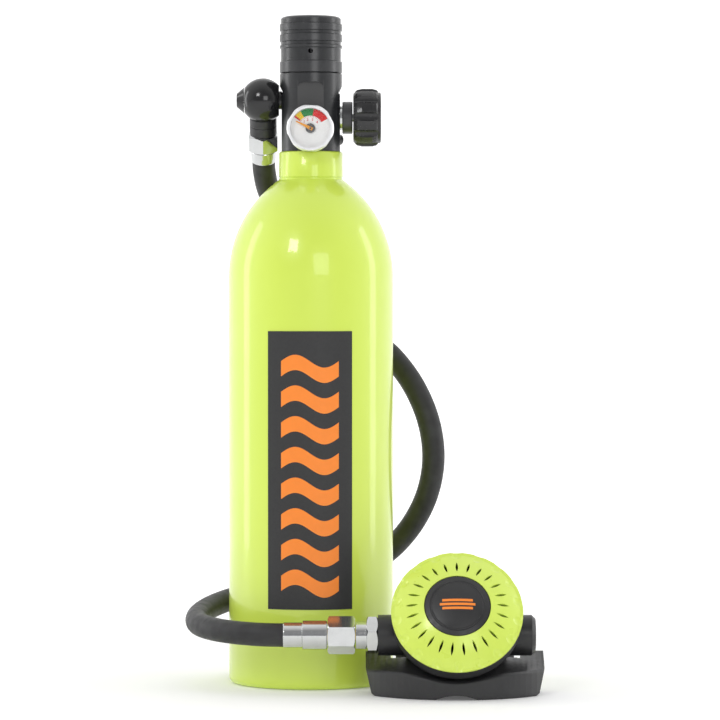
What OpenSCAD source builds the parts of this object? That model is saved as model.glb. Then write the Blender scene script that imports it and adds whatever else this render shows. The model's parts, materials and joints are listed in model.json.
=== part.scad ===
// Small dive cylinder with a one-piece valve and first stage, a gauge, a ball swivel,
// a hose and a second-stage regulator. Millimetres. The origin is the centre of the
// cylinder's base, +X is towards the knob, +Y is the back and +Z is up.

/* [Cylinder] */
// outside diameter of the cylinder
tank_d = 83; // [79:1:86]
// height of the straight wall
straight_h = 205; // [200:1:210]
// thickness of the cylinder's wall
tank_wall = 5; // [3:0.5:7]
// thickness of the cylinder's base
base_t = 8; // [6:0.5:12]
// outside diameter of the neck
neck_d = 32.1; // [30:0.1:33]
// radius of the shoulder's arc
shoulder_r = 60; // [58:1:62]

/* [Label] */
// half of the angle that the label covers
label_half_angle = 30; // [20:1:40]
// bottom edge of the label
label_low = 40; // [30:1:60]
// height of the label
label_h = 138; // [100:1:150]

/* [Valve] */
// diameter of the valve's body
valve_d = 31.4; // [31:0.1:32]
// height of the valve's body
valve_h = 39; // [39:0.5:41]
// distance from the axis to each side flat
side_flat = 14.7; // [14.4:0.1:15]
// diameter of the first-stage cap
cap_d = 31.5; // [31:0.1:33]
// height of the first-stage cap
cap_h = 29; // [28:0.5:34]
// diameter of the piston's head
piston_d = 25; // [23:0.5:26]

/* [Knob] */
// diameter over the knob's lobes
knob_d = 29.2; // [26:0.2:32]
// length of the knob
knob_l = 14; // [12:0.5:18]
// number of grooves round the knob
knob_grooves = 10; // [6:1:12]
// rise of the valve seat in one turn of the knob
seat_pitch = 1; // [0.6:0.1:1.2]

/* [Gauge] */
// diameter of the dial
dial_d = 19.8; // [16:0.2:21]
// width across the gauge's flats
gauge_af = 22.8; // [22.6:0.1:24]
// length of the needle from its centre to its tip
needle_l = 8.3; // [6:0.1:9]

/* [Swivel] */
// diameter of the swivel's ball
ball_d = 22.4; // [21:0.2:23]
// backward tilt of the swivel's leg at rest
leg_tilt = 27; // [25:0.5:29]

/* [Hose] */
// outside diameter of the hose
hose_d = 11.6; // [10:0.1:12]

/* [Second stage] */
// radius of the front cover
cover_r = 32.1; // [31:0.1:34]
// height of the cover's dome
dome_h = 10; // [9:0.5:12]
// radius of the centre button
button_r = 16.2; // [14:0.1:17]
// number of slots in the cover
cover_slots = 25; // [12:1:28]
// backward lean of the second stage
lean = 31.2; // [30:0.2:32.4]
// how far the purge button is pressed
purge_travel = 3; // [2:0.5:3.5]
// wall of the exhaust tee
tee_wall = 2; // [1.6:0.2:2.6]

/* [Fits] */
// radial clearance of the parts that turn or slide
running_gap = 0.08; // [0.04:0.01:0.1]
// radial clearance of the parts that are screwed or pressed together
seat_gap = 0.02; // [0.01:0.01:0.04]
// distance between the faces of parts that move past each other
face_gap = 0.4; // [0.3:0.05:0.5]

/* [Nodes] */
// the sub-part to draw, or all of them

/* [Hidden] */

$fn = 72;
tank_r = tank_d / 2;
neck_r = neck_d / 2;
arc_c = tank_r - shoulder_r;
neck_angle = acos((neck_r - arc_c) / shoulder_r);
neck_base = straight_h + shoulder_r * sin(neck_angle);
neck_top = neck_base + 14.2;
thread_r = 9;
valve_r = valve_d / 2;
valve_top = neck_top + valve_h;
flat_end = valve_top - 7;
knob_z = neck_top + 17.1;
gauge_z = neck_top + 10.9;
swivel_z = neck_top + 25.9;
cap_low = valve_top + 0.5;
cap_r = cap_d / 2;
band_r = cap_r - 0.6;
piston_r = piston_d / 2 - running_gap;
piston_z = cap_low + 15;
piston_stroke = 1.5;
seat_lift = 1.5 * seat_pitch;
stem_r = 3;
seat_top = valve_top - 7;
bonnet_x = side_flat + 1.2;
bonnet_end = bonnet_x + 5.1;
knob_x = bonnet_end + face_gap;
knob_end = knob_x + knob_l;
knob_r = knob_d / 2;
check_y = valve_r + 5 - 1.25;
gauge_back = -16.6;
gauge_front = gauge_back - 8.4;
dial_r = dial_d / 2;
dial_y = gauge_back - 4.2;
ball_r = ball_d / 2;
ball_x = -side_flat - 9.6;
ball_cut = -valve_r - face_gap;
leg_out = 18.3;
nut_out = 27.3;
ferrule_out = 33.7;
hose_r = hose_d / 2;
axis_y = -58;
axis_z = 29.1;
inlet_x = 28;
stage_x = 72;
tube_r = 10;
rim_n = tube_r + purge_travel + 8;
rim_v = 2;
dome_r = (cover_r * cover_r + dome_h * dome_h) / (2 * dome_h);
floor_v = -19;
plate_low = rim_n - 5.85;
lever_top = plate_low - 0.25;
// tee: the bow of its front wall, its ends, its top edge and the arch under it
tee_x = stage_x - 0.5;
bow_r = 51.5;
bow_y = axis_y + 25.5;
tee_back = axis_y + 16;
tee_half = 43.9;
tee_edge_z = 12.5;
tee_high = 20;
dip_half = 29;
dip_depth = 3.9;
arch_r = 23.8;
arch_h = 2.2;

// hose route: hand-set points between the two ferrules
route = [
  [-24.1, 18.1, 259.2], [-23, 23.2, 252.6], [-21, 28.8, 246.5],
  [-17, 37, 237.5], [-12, 44, 226], [-4.5, 49, 212],
  [5.5, 51, 197.5], [18, 49.5, 184], [31, 43.5, 173], [43, 35, 162], [53, 28.5, 148],
  [60, 25, 131], [62.5, 24.5, 113], [60, 27.5, 95.5], [53, 33, 79.5], [42.5, 40, 66],
  [30, 46, 56.5], [15, 50, 50.5], [-1.5, 50.5, 46.5], [-17.5, 47, 43.5], [-32, 39, 41],
  [-44, 27, 38.5], [-52.5, 12, 36], [-57, -5.5, 33.5], [-56, -23, 31.5], [-49, -39, 30.5],
  [-37.5, -51, 29.8], [-24, -57, 29.3]
];

function leg(s) = [ball_x, s * sin(leg_tilt), swivel_z - s * cos(leg_tilt)];
hose_points = concat(
  [leg(ferrule_out + 1.6)], route, [[-12.5, axis_y, axis_z], [-5, axis_y, axis_z]]
);

// a smooth curve through the points: one cubic between each two of them
function pt(p, i) = p[max(0, min(len(p) - 1, i))];
function curve_at(p, i, t) =
  let (a = pt(p, i - 1), b = pt(p, i), c = pt(p, i + 1), d = pt(p, i + 2))
  0.5 * (2 * b + (c - a) * t + (2 * a - 5 * b + 4 * c - d) * t * t
    + (3 * b - a - 3 * c + d) * t * t * t);
function curve(p, n) = concat(
  [for (i = [0:len(p) - 2]) for (k = [0:n - 1]) curve_at(p, i, k / n)],
  [p[len(p) - 1]]
);
function unit(v) = v / norm(v);
function way(p, i) = unit(pt(p, i + 1) - pt(p, i - 1));

// each ring's sideways direction is carried along from the ring before it
function sides_of(p, i, u) =
  let (t = way(p, i), w = unit(u - (u * t) * t))
  i == len(p) - 1 ? [w] : concat([w], sides_of(p, i + 1, w));
function ring(c, t, u, r, n) =
  let (v = cross(t, u))
  [for (k = [0:n - 1]) c + r * cos(360 * k / n) * u + r * sin(360 * k / n) * v];

// one solid from rings of points; first and last are the middles of its two ends
module skin(rings, first, last) {
  m = len(rings);
  n = len(rings[0]);
  points = [for (a = rings) for (b = a) b];
  walls = [
    for (i = [0:m - 2]) for (k = [0:n - 1])
      for (f = [
        [i * n + k, i * n + (k + 1) % n, (i + 1) * n + k],
        [i * n + (k + 1) % n, (i + 1) * n + (k + 1) % n, (i + 1) * n + k]
      ]) [f[2], f[1], f[0]]
  ];
  polyhedron(concat(points, [first, last]), concat(walls,
    [for (k = [0:n - 1]) [k, (k + 1) % n, m * n]],
    [for (k = [0:n - 1]) [(m - 1) * n + (k + 1) % n, (m - 1) * n + k, m * n + 1]]));
}
// a round rod of radius r with n sides that follows the points
module rod(p, r, n, start) {
  u = sides_of(p, 0, start);
  last = len(p) - 1;
  skin([for (i = [0:last]) ring(p[i], way(p, i), u[i], r, n)], p[0], p[last]);
}

// a coil spring along +Z from 0 to h
function coil(r, h, turns, n) =
  [for (i = [0:turns * n]) [r * cos(360 * i / n), r * sin(360 * i / n), h * i / (turns * n)]];
module spring(r, h, wire, turns) {
  translate([0, 0, wire])
    rod(coil(r, h - 2 * wire, turns, 14), wire, 6, [1, 0, 0]);
}

module tube(outer, inner, h) {
  difference() {
    cylinder(r = outer, h = h);
    translate([0, 0, -1]) cylinder(r = inner, h = h + 2);
  }
}
module torus(r, section) {
  rotate_extrude() translate([r, 0]) circle(r = section, $fn = 32);
}
// a hexagonal nut along +Z whose corners are turned down at both ends
module hex_nut(af, h, bore, cham) {
  big = af / 2 / cos(30);
  difference() {
    intersection() {
      cylinder(r = big, h = h, $fn = 6);
      rotate_extrude() polygon([[0, 0], [big - cham, 0], [big + 0.01, cham * 0.6],
        [big + 0.01, h - cham * 0.6], [big - cham, h], [0, h]]);
    }
    translate([0, 0, -1]) cylinder(r = bore, h = h + 2);
  }
}
module at_x(x, y, z) {
  translate([x, y, z]) rotate([0, 90, 0]) children();
}
// the second stage's own frame: X along the inlet tube, Z out of the front cover
module stage() {
  translate([stage_x, axis_y, axis_z]) rotate([90 - lean, 0, 0]) children();
}
// the swivel's leg: Z runs down the leg from the ball's centre
module on_leg(s) {
  translate([ball_x, 0, swivel_z]) rotate([180 + leg_tilt, 0, 0]) translate([0, 0, s]) children();
}

// ---- cylinder and valve ----

module shoulder(r, top_r) {
  rotate_extrude(convexity = 4) intersection() {
    translate([arc_c, straight_h]) circle(r = r, $fn = 180);
    translate([0, straight_h - 0.01]) square([tank_d, r * sin(acos((top_r - arc_c) / r)) + 0.01]);
  }
}
module cylinder_shell() {
  inner_r = tank_r - tank_wall;
  color([0.72, 0.84, 0.3]) difference() {
    union() {
      rotate_extrude() polygon([[0, 0], [tank_r - 3, 0], [tank_r - 1.6, 0.4], [tank_r - 0.4, 1.6],
        [tank_r, 3], [tank_r, straight_h], [0, straight_h]]);
      shoulder(shoulder_r, neck_r);
      translate([0, 0, neck_base - 0.5]) cylinder(r = neck_r, h = neck_top - neck_base + 0.5);
    }
    rotate_extrude() polygon([[0, base_t], [inner_r - 6, base_t], [inner_r - 2, base_t + 2],
      [inner_r, base_t + 6], [inner_r, straight_h], [0, straight_h]]);
    shoulder(shoulder_r - tank_wall, thread_r);
    translate([0, 0, straight_h]) cylinder(r = thread_r, h = neck_top - straight_h + 1);
    translate([0, 0, neck_top - 2.4]) cylinder(r = thread_r + 2, h = 3);
    translate([0, 0, neck_base + 0.9]) torus(neck_r + 0.1, 0.35);
  }
}
module tank_label() {
  color([0.25, 0.25, 0.26]) translate([0, 0, label_low]) rotate([0, 0, -90 - label_half_angle])
    rotate_extrude(angle = 2 * label_half_angle) translate([tank_r, 0]) square([0.25, label_h]);
}
module neck_o_ring() {
  color([0.08, 0.08, 0.08]) translate([0, 0, neck_top - 1.25]) torus(thread_r + 1.02, 0.95);
}
module valve_body() {
  color([0.1, 0.1, 0.1]) difference() {
    union() {
      translate([0, 0, neck_top]) cylinder(r = valve_r, h = valve_h);
      translate([0, 0, neck_top - 17]) cylinder(r = thread_r - seat_gap, h = 18);
      translate([0, 0, valve_top - 1]) cylinder(r = piston_d / 2 + 0.5, h = 5.5);
    }
    for (side = [-1, 1]) {
      translate([side < 0 ? -side_flat - 4 : side_flat, -20, neck_top - 1])
        cube([4, 40, flat_end - neck_top]);
      translate([side * side_flat, 0, flat_end - 1]) rotate([0, side * 26.6, 0])
        translate([side < 0 ? -4 : 0, -20, -2]) cube([4, 40, 4.2]);
    }
    translate([-6.6, -valve_r - 1, neck_top - 1]) cube([13.2, valve_r + 1 - 14.25, 31.9]);
    for (x = [-3, 3]) translate([x, -14.25, neck_top + 30.9]) rotate([90, 0, 0]) cylinder(r = 3.6, h = 3);
    translate([-3, -valve_r - 1, neck_top + 30.8]) cube([6, valve_r + 1 - 14.25, 3.7]);
    // gas way from the cylinder to the seat, and from the seat's chamber to the first stage
    translate([0, 0, neck_top - 18]) cylinder(r = 3, h = 12);
    translate([0, 0, neck_top - 7]) cylinder(r = 1.5, h = knob_z - neck_top + 7);
    at_x(-0.5, 0, knob_z) cylinder(r = 1.5, h = 2);
    at_x(1.2, 0, knob_z) cylinder(r = 3.9, h = 8);
    at_x(8, 0, knob_z) cylinder(r = 4.2, h = side_flat);
    translate([3.4, 0, knob_z]) cylinder(r = 1.2, h = seat_top - knob_z + 1);
    // chamber under the piston, with the seat at its bottom
    translate([0, 0, seat_top - 2]) cylinder(r = 4.6, h = 4.6);
    translate([0, 0, seat_top + 1]) cylinder(r = stem_r + running_gap, h = 20);
    translate([0, 0, valve_top - 0.5]) cylinder(r = piston_d / 2 - 2, h = 20);
    // ports: gauge at the front, filling at the back, burst disc, and the swivel's
    translate([0, -8, gauge_z]) rotate([90, 0, 0]) cylinder(r = 4, h = 10);
    translate([0, 0, gauge_z]) rotate([90, 0, 0]) cylinder(r = 0.8, h = 9);
    translate([0, 8, knob_z]) rotate([-90, 0, 0]) cylinder(r = 3, h = 10);
    translate([0, 1, knob_z - 3.5]) rotate([-90, 0, 0]) cylinder(r = 0.9, h = 3);
    translate([0, 0, neck_top + 6.5]) rotate([0, 90, 40]) cylinder(r = 2, h = 30);
    at_x(-side_flat - 1, 0, swivel_z) cylinder(r = 4.2, h = 7);
    at_x(-9, 0, swivel_z) cylinder(r = 1.2, h = 5);
  }
}
module dip_tube() {
  color([0.75, 0.6, 0.3]) translate([0, 0, neck_top - 52]) tube(3 - seat_gap, 2.2, 44);
}
module seat_insert() {
  color([0.9, 0.9, 0.86]) translate([0, 0, seat_top - 1.9]) tube(4.6 - seat_gap, 0.8, 1.7);
}
module packing_ring() {
  color([0.8, 0.8, 0.82]) at_x(side_flat, 0, knob_z) tube(6, 4.3, bonnet_x - side_flat);
}
module bonnet_nut() {
  color([0.1, 0.1, 0.1]) at_x(0, 0, knob_z) difference() {
    union() {
      rotate_extrude() polygon([[0, bonnet_x], [7.75, bonnet_x], [8.15, bonnet_x + 0.4],
        [8.15, bonnet_end - 0.4], [7.75, bonnet_end], [0, bonnet_end]]);
      translate([0, 0, 9.4]) cylinder(r = 4.2 - seat_gap, h = bonnet_x - 9.4 + 0.5);
    }
    translate([0, 0, 9]) cylinder(r = 2 + running_gap, h = 20);
    translate([0, 0, bonnet_x + 1]) cylinder(r = 3.6, h = 1.8);
  }
}
module stem_o_ring() {
  color([0.08, 0.08, 0.08]) at_x(bonnet_x + 1.9, 0, knob_z) torus(2.83, 0.74);
}
module valve_stem() {
  color([0.8, 0.8, 0.82]) at_x(0, 0, knob_z) {
    translate([0, 0, 7.6]) cylinder(r = 2, h = knob_end - 7.6 - 3);
    translate([-1.6, -0.5, 3.2 + seat_lift]) cube([3.2, 1, 4.5 - seat_lift]);
  }
}
module seat_carrier() {
  color([0.75, 0.6, 0.3]) at_x(0, 0, knob_z) difference() {
    translate([0, 0, 1.9]) cylinder(r = 3.9 - running_gap, h = 3.9);
    translate([-5, -0.58, 3]) cube([10, 1.16, 4]);
  }
}
module valve_seat() {
  color([0.9, 0.9, 0.86]) at_x(1.25, 0, knob_z) cylinder(r = 2.8, h = 0.65);
}
// knob: a barrel with rounded grooves and two plain rims
module knob() {
  color([0.12, 0.12, 0.12]) at_x(knob_x, 0, knob_z) difference() {
    union() {
      rotate_extrude() polygon([[0, 0], [12.2, 0], [12.8, 0.5], [12.8, knob_l - 0.5],
        [12.2, knob_l], [0, knob_l]]);
      difference() {
        rotate_extrude() polygon([[0, 0.9], [knob_r - 1.3, 0.9], [knob_r - 0.5, 2], [knob_r, 4.4],
          [knob_r, knob_l - 4.4], [knob_r - 0.5, knob_l - 2.4], [knob_r - 1.3, knob_l - 1.5],
          [0, knob_l - 1.5]]);
        for (k = [0:knob_grooves - 1]) rotate([0, 0, (k + 0.5) * 360 / knob_grooves])
          translate([knob_r + 0.9, 0, -1]) cylinder(r = 2.4, h = knob_l + 2);
      }
    }
    translate([0, 0, -1]) cylinder(r = 2 + seat_gap, h = knob_l + 2);
    translate([0, 0, knob_l - 3]) cylinder(r = 4, h = 4);
    translate([0, 0, knob_l - 0.8]) rotate_extrude() translate([8.2, 0]) square([2.6, 2]);
  }
}
module knob_screw() {
  color([0.8, 0.8, 0.82]) at_x(knob_end - 3, 0, knob_z) difference() {
    cylinder(r = 3.8, h = 2.6);
    translate([0, 0, 1]) cylinder(r = 1.7, h = 3, $fn = 6);
  }
}
module burst_disc_plug() {
  color([0.75, 0.6, 0.3]) translate([0, 0, neck_top + 6.5]) rotate([0, 90, 40]) difference() {
    union() {
      translate([0, 0, 9]) cylinder(r = 2 - seat_gap, h = 7);
      translate([0, 0, 15.85]) cylinder(r = 2.6, h = 3.4);
    }
    translate([0, 0, 16.8]) cylinder(r = 1.4, h = 3, $fn = 6);
    translate([0, 0, 8]) cylinder(r = 0.8, h = 12);
  }
}
module burst_disc() {
  color([0.8, 0.5, 0.35]) translate([0, 0, neck_top + 6.5]) rotate([0, 90, 40])
    translate([0, 0, 8.7]) cylinder(r = 1.9, h = 0.3);
}
module fill_nipple() {
  color([0.8, 0.8, 0.82]) translate([0, 0, knob_z]) rotate([-90, 0, 0]) difference() {
    union() {
      translate([0, 0, 9]) cylinder(r = 3 - seat_gap, h = 8);
      translate([0, 0, valve_r]) hex_nut(12, 2.6, 0.1, 0.8);
      translate([0, 0, valve_r + 2]) cylinder(r = 4, h = 10);
    }
    translate([0, 0, 8]) cylinder(r = 1.2, h = 30);
    translate([0, 0, 10]) cylinder(r = 2, h = valve_r - 5);
  }
}
module fill_check() {
  color([0.75, 0.6, 0.3]) translate([0, check_y, knob_z]) sphere(r = 1.7);
}
module check_spring() {
  color([0.6, 0.6, 0.62]) translate([0, 10.05, knob_z]) rotate([-90, 0, 0])
    spring(1.3, check_y - 1.75 - 10.05, 0.22, 4);
}

// ---- first stage ----

module first_stage_cap() {
  inner = piston_d / 2;
  color([0.1, 0.1, 0.1]) difference() {
    translate([0, 0, cap_low]) rotate_extrude(convexity = 6) polygon([
      [0, 0], [cap_r - 0.3, 0], [cap_r, 0.3], [cap_r, 5.6], [cap_r - 0.2, 5.8], [band_r, 6],
      [band_r, 12.3], [cap_r, 12.6], [cap_r, 13.9], [band_r, 14.2],
      [band_r, 15.6], [cap_r, 15.9], [cap_r, 19.3], [band_r, 19.6],
      [band_r, 21], [cap_r, 21.3], [cap_r, 24.6], [band_r, 24.9],
      [band_r, cap_h - 1.7], [band_r - 0.7, cap_h - 0.9], [band_r - 2.4, cap_h - 0.4],
      [8, cap_h], [0, cap_h + 0.3]]);
    translate([0, 0, cap_low - 1]) cylinder(r = inner + 0.5 + seat_gap, h = 6);
    translate([0, 0, cap_low + 4]) cylinder(r = inner, h = cap_h - 9);
    translate([0, -8, cap_low + 10.5]) rotate([90, 0, 0]) cylinder(r = 1.2, h = 20);
    translate([0, 8, cap_low + 10.5]) rotate([-90, 0, 0]) cylinder(r = 1.2, h = 20);
  }
}
module piston() {
  color([0.75, 0.75, 0.77]) difference() {
    union() {
      translate([0, 0, seat_top + piston_stroke + 0.2]) cylinder(r = stem_r, h = piston_z - seat_top);
      translate([0, 0, piston_z]) cylinder(r = piston_r, h = 4.4);
    }
    translate([0, 0, piston_z + 2.2]) rotate_extrude() translate([piston_r - 1.8, -1]) square([3, 2]);
    translate([0, 0, seat_top]) cylinder(r = 1, h = 40);
  }
}
module piston_o_ring() {
  color([0.08, 0.08, 0.08]) translate([0, 0, piston_z + 2.2]) torus(piston_r - 0.87, 0.9);
}
module piston_spring() {
  color([0.6, 0.6, 0.62]) translate([0, 0, valve_top - 0.4])
    spring(8, piston_z - valve_top + 0.3, 0.8, 4);
}

// ---- gauge ----

module to_front(y) {
  translate([0, y, gauge_z]) rotate([90, 0, 0]) children();
}
module gauge_case() {
  color([0.85, 0.85, 0.86]) to_front(gauge_back) difference() {
    intersection() {
      rotate([0, 0, -3]) cylinder(r = gauge_af / 2 / cos(30), h = 8.4, $fn = 6);
      rotate_extrude() polygon([[0, 0], [11, 0], [11.8, 0.8], [11.8, 7.6], [11.2, 8.4], [0, 8.4]]);
    }
    translate([0, 0, 1.2]) cylinder(r = dial_r + 0.1, h = 10);
    translate([0, 0, -1]) cylinder(r = 1, h = 4);
  }
}
module gauge_socket() {
  color([0.8, 0.8, 0.82]) to_front(-8.4) difference() {
    union() {
      cylinder(r = 4 - seat_gap, h = -8.4 - gauge_back);
      translate([0, 0, 5.9]) cylinder(r = 6, h = -8.4 - gauge_back - 5.9);
    }
    translate([0, 0, -1]) cylinder(r = 0.9, h = 12);
  }
}
module dial_plate() {
  color([0.95, 0.95, 0.93]) to_front(dial_y) tube(dial_r, 0.5 + running_gap, 0.4);
}
module bourdon_tube() {
  color([0.75, 0.6, 0.3]) to_front(gauge_back - 2.5) union() {
    rotate([0, 0, 110]) rotate_extrude(angle = 260) translate([6.4, 0]) circle(r = 0.8, $fn = 24);
    rotate([0, 0, 110]) translate([6.4, 0, -0.9]) cylinder(r = 1.1, h = 1.8);
  }
}
module needle_hub() {
  color([0.1, 0.1, 0.1]) to_front(dial_y) {
    translate([0, 0, -0.8]) cylinder(r = 0.5, h = 2.9);
    translate([0, 0, 0.8]) cylinder(r = 2.4, h = 0.6);
  }
}
module gauge_needle() {
  color([0.95, 0.45, 0.1]) to_front(dial_y) rotate([0, 0, 64]) difference() {
    translate([0, 0, 1.45]) linear_extrude(0.35)
      polygon([[-0.75, -1.2], [0.75, -1.2], [0.75, 0.8], [0.3, needle_l - 0.6], [0, needle_l],
        [-0.3, needle_l - 0.6], [-0.75, 0.8]]);
    cylinder(r = 0.5 + seat_gap, h = 5);
  }
}
module gauge_lens() {
  color([0.9, 0.95, 0.95, 0.35]) to_front(gauge_front + 1.6) cylinder(r = dial_r + 0.08, h = 1);
}

// ---- ball swivel and hose ----

module swivel_bolt() {
  color([0.8, 0.8, 0.82]) at_x(0, 0, swivel_z) difference() {
    union() {
      translate([0, 0, ball_x - 9]) cylinder(r = 4, h = -ball_x);
      translate([0, 0, ball_cut]) cylinder(r = 4.6, h = -side_flat - ball_cut);
      translate([0, 0, -side_flat]) cylinder(r = 4.2 - seat_gap, h = 5);
    }
    translate([0, 0, ball_x - 1]) cylinder(r = 1.2, h = 40);
    translate([0, 0, ball_x]) rotate([90, 0, 0]) cylinder(r = 1.2, h = 12, center = true);
  }
}
module swivel_end_cap() {
  x0 = ball_x - 9.1 - face_gap;
  color([0.06, 0.06, 0.06]) at_x(x0 - 3.7, 0, swivel_z) difference() {
    intersection() {
      cylinder(r1 = 3.4, r2 = 6.6, h = 3.7);
      rotate([0, 0, 15]) cylinder(r = 6.9, h = 3.7, $fn = 12);
    }
    translate([0, 0, 3.2]) cylinder(r = 4 + seat_gap, h = 3);
  }
}
module swivel_ball() {
  color([0.06, 0.06, 0.06]) difference() {
    union() {
      translate([ball_x, 0, swivel_z]) sphere(r = ball_r);
      on_leg(8) cylinder(r = 5.6, h = leg_out - 8);
    }
    translate([ball_cut, -20, swivel_z - 20]) cube([20, 40, 40]);
    translate([ball_x - 9.1 - 20, -20, swivel_z - 20]) cube([20, 40, 40]);
    at_x(ball_x - 20, 0, swivel_z) cylinder(r = 4 + running_gap, h = 40);
    on_leg(0) cylinder(r = 2.2, h = 40);
  }
}
module swivel_collar() {
  color([0.08, 0.08, 0.08]) on_leg(11.4) difference() {
    rotate_extrude() polygon([[5.62, -3], [6.7, -3], [6.85, -2], [6.85, 1.5], [6.6, 1.7], [6.6, 2],
      [6.85, 2.2], [6.85, 6.5], [6.5, 6.9], [5.62, 6.9]]);
    on_ball_gap();
  }
}
// keeps the collar's foot off the ball
module on_ball_gap() {
  translate([0, 0, -11.4]) sphere(r = ball_r + 0.1);
}
module upper_hose_nut() {
  color([0.8, 0.8, 0.82]) on_leg(leg_out) rotate([0, 0, 90]) hex_nut(14.5, nut_out - leg_out - 0.1, 2.2, 1.6);
}
module upper_ferrule() {
  ferrule_l = ferrule_out - nut_out;
  color([0.82, 0.82, 0.84]) on_leg(nut_out) difference() {
    rotate_extrude() polygon([[0, 0], [6.3, 0], [6.5, 0.4], [6.4, ferrule_l - 2.6],
      [hose_r + 0.4, ferrule_l - 0.5], [hose_r + 0.1, ferrule_l], [0, ferrule_l]]);
    translate([0, 0, -1]) cylinder(r = 2.2, h = ferrule_l + 2);
  }
}
module hose() {
  // the first ring lies flat against the upper ferrule's end
  line = concat([leg(ferrule_out + 0.1)], curve(hose_points, 2));
  color([0.13, 0.13, 0.13]) rod(line, hose_r, 12, [1, 0, 0]);
}
module lower_ferrule() {
  color([0.82, 0.82, 0.84]) at_x(-12.9, axis_y, axis_z) difference() {
    rotate_extrude() polygon([[0, 0], [hose_r + 0.25, 0], [hose_r + 0.45, 0.4], [hose_r + 0.45, 9.2],
      [7.15, 9.6], [7.15, 21], [6.8, 21.6], [0, 21.6]]);
    translate([0, 0, -1]) cylinder(r = hose_r + seat_gap, h = 9.6);
    cylinder(r = 3 + seat_gap, h = 30);
  }
}
module lower_hose_nut() {
  color([0.8, 0.8, 0.82]) at_x(8.9, axis_y, axis_z) hex_nut(16.2, 13.5, 3 + seat_gap, 1.2);
}
module hose_barb() {
  color([0.75, 0.6, 0.3]) at_x(-2, axis_y, axis_z) tube(3, 1.8, inlet_x + 4);
}

// ---- second stage ----

module inlet_fitting() {
  color([0.8, 0.8, 0.82]) at_x(0, axis_y, axis_z) difference() {
    union() {
      translate([0, 0, 22.4 + face_gap]) cylinder(r = 6.85, h = inlet_x - 22.4);
      translate([0, 0, inlet_x]) rotate([0, 0, 15]) hex_nut(16.7, 5.6, 0.1, 1.4);
      translate([0, 0, inlet_x + 5]) cylinder(r = 7, h = 5);
    }
    translate([0, 0, 20]) cylinder(r = 3 + running_gap, h = 20);
  }
}
module case_hull(grow) {
  // the outside of the case's cup, without its ring
  intersection() {
    translate([0, rim_v, -10 - grow]) cylinder(r = 26 + grow, h = 25 + grow);
    translate([-60, floor_v - grow, -20]) cube([120, 80, 60]);
  }
}
module ring_hull(grow) {
  translate([0, rim_v, rim_n - 8.3 - grow]) cylinder(r = 31.5 + grow, h = 8.3);
}
module regulator_case() {
  color([0.07, 0.07, 0.08]) stage() difference() {
    union() {
      case_hull(0);
      ring_hull(0);
      translate([33.6 - stage_x, 0, 0]) rotate([0, 90, 0]) cylinder(r = tube_r, h = 75.4);
      translate([36.9, 0, 0]) rotate([0, 90, 0]) cylinder(r1 = tube_r, r2 = 8.2, h = 1.9);
      // outlet to the mouthpiece
      translate([0, rim_v, -22]) oval(11, 6.5, 13);
    }
    // room in front of and behind the inlet tube
    difference() {
      intersection() {
        translate([0, rim_v, -8]) cylinder(r = 24, h = 40);
        translate([-60, floor_v + 2, -20]) cube([120, 80, 60]);
      }
      translate([-40, 0, 0]) rotate([0, 90, 0]) cylinder(r = 9, h = 80);
    }
    translate([0, rim_v, rim_n - 5]) cylinder(r = 29.8, h = 6);
    translate([0, rim_v, -23]) oval(11, 4.7, 20);
    translate([-40, 0, 0]) rotate([0, 90, 0]) cylinder(r = 7 + seat_gap, h = 76);
    // slot for the lever, gas ways into the case
    translate([-3, -5, 3]) cube([12, 10, 20]);
    translate([12, 0, -14]) cylinder(r = 3, h = 8);
    // exhaust holes
    for (k = [0:5]) translate([0, 0, 2]) rotate([90, 0, 0]) rotate([0, 0, 60 * k])
      translate([6, 0, -floor_v - 4]) cylinder(r = 2, h = 6);
    translate([0, 0, 2]) rotate([90, 0, 0]) translate([0, 0, -floor_v - 4])
      cylinder(r = 1 + running_gap, h = 6);
  }
}
// an oval tube's outline along +Z: two rounds and the block between them
module oval(half, r, h) {
  for (s = [-1, 1]) translate([s * half, 0, 0]) cylinder(r = r, h = h);
  translate([-half, -r, 0]) cube([2 * half, 2 * r, h]);
}
module valve_barrel() {
  color([0.75, 0.6, 0.3]) stage() difference() {
    translate([-33, 0, 0]) rotate([0, 90, 0]) cylinder(r = 7, h = 66);
    translate([-40, 0, 0]) rotate([0, 90, 0]) cylinder(r = 4, h = 71);
    translate([-2.6, -4.6, 2]) cube([11, 9.2, 10]);
    translate([12, 0, -10]) cylinder(r = 3, h = 8);
  }
}
module orifice() {
  color([0.8, 0.8, 0.82]) stage() translate([-32, 0, 0]) rotate([0, 90, 0]) difference() {
    cylinder(r = 4 - seat_gap, h = 8);
    translate([0, 0, -1]) cylinder(r = 1.6, h = 12);
    translate([0, 0, 6.8]) difference() {
      cylinder(r = 5, h = 3);
      cylinder(r1 = 2.6, r2 = 2, h = 3);
    }
  }
}
module poppet() {
  color([0.92, 0.92, 0.88]) stage() translate([-23.95, 0, 0]) rotate([0, 90, 0]) difference() {
    cylinder(r = 4 - running_gap, h = 30);
    translate([-8, -5, 26.55]) cube([9.2, 10, 2.2]);
  }
}
module poppet_spring() {
  color([0.6, 0.6, 0.62]) stage() translate([6.1, 0, 0]) rotate([0, 90, 0]) spring(2.6, 24.6, 0.5, 6);
}
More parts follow.
